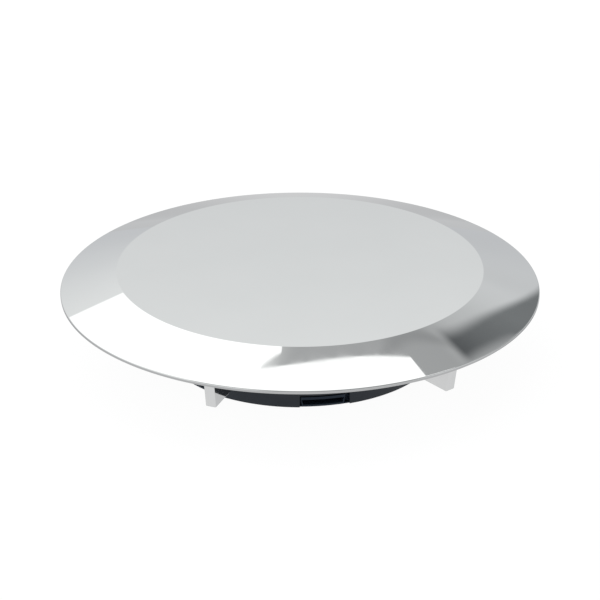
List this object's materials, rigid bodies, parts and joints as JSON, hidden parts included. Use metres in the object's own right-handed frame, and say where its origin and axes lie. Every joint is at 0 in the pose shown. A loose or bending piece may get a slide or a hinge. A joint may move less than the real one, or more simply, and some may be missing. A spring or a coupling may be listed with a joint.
{
  "type": "ceiling air diffuser",
  "caption": "Round ceiling air diffuser: chromed bevelled cover on radial ribs over a black duct spigot with a screw-driven damper disc inside.",
  "frame": {"origin": "on the axis, at the spigot's lower end", "axes": "+Z along the axis, from the duct towards the room; -Y through the middle of a gap between two ribs; the cover faces up, and on a ceiling the part hangs the other way up"},
  "size_m": [0.168, 0.168, 0.0302],
  "materials": {
    "polished_chrome": "mirror polished",
    "cast_chrome": "bright plated casting",
    "black_gloss_plastic": "glossy moulded",
    "black_satin_plastic": "satin moulded",
    "grey_plastic": "fine moulded texture",
    "white_plastic": "smooth, self-lubricating",
    "black_rubber": "matt",
    "grey_foam": "open cells",
    "zinc_steel": "zinc plated",
    "spring_steel": "blued, rolled",
    "turned_steel": "turned",
    "brass": "machined"
  },
  "bodies": {
    "housing": {"duct_spigot": "black_gloss_plastic", "bridge": "black_satin_plastic", "lip_seal": "black_rubber", "ceiling_gasket": "grey_foam", "spindle_bush": "white_plastic", "thrust_washer": "turned_steel", "wave_spring": "spring_steel", "guide_pins": "turned_steel"},
    "cover": {"cover_plate": "polished_chrome", "insulation_pad": "grey_foam", "rib_frame": "cast_chrome", "cover_studs": "zinc_steel", "stud_washers": "zinc_steel", "stud_nuts": "zinc_steel", "retaining_clips": "spring_steel", "clip_screws": "zinc_steel"},
    "damper": {"damper_plate": "grey_plastic", "damper_seal": "black_rubber", "drive_nut": "brass", "nut_plate": "zinc_steel", "nut_plate_screws": "zinc_steel", "guide_bushes": "white_plastic"},
    "spindle": {"spindle": "turned_steel", "knob": "black_satin_plastic", "knob_screw": "zinc_steel", "retaining_ring": "spring_steel"}
  },
  "joints": [
    {"name": "cover_lift", "type": "slide", "parent": "housing", "child": "cover", "axis": [0, 0, 1], "range_m": [0, 0.04]},
    {"name": "spindle_turn", "type": "hinge", "parent": "housing", "child": "spindle", "pos_m": [0, 0, 0.012], "axis": [0, 0, -1], "range_deg": [0, 720]},
    {"name": "damper_slide", "type": "slide", "parent": "housing", "child": "damper", "axis": [0, 0, 1], "range_m": [0, 0.008]}
  ],
  "couplings": [
    {"joint": "damper_slide", "follows": "spindle_turn", "m_per_rad": 0.0006366}
  ]
}
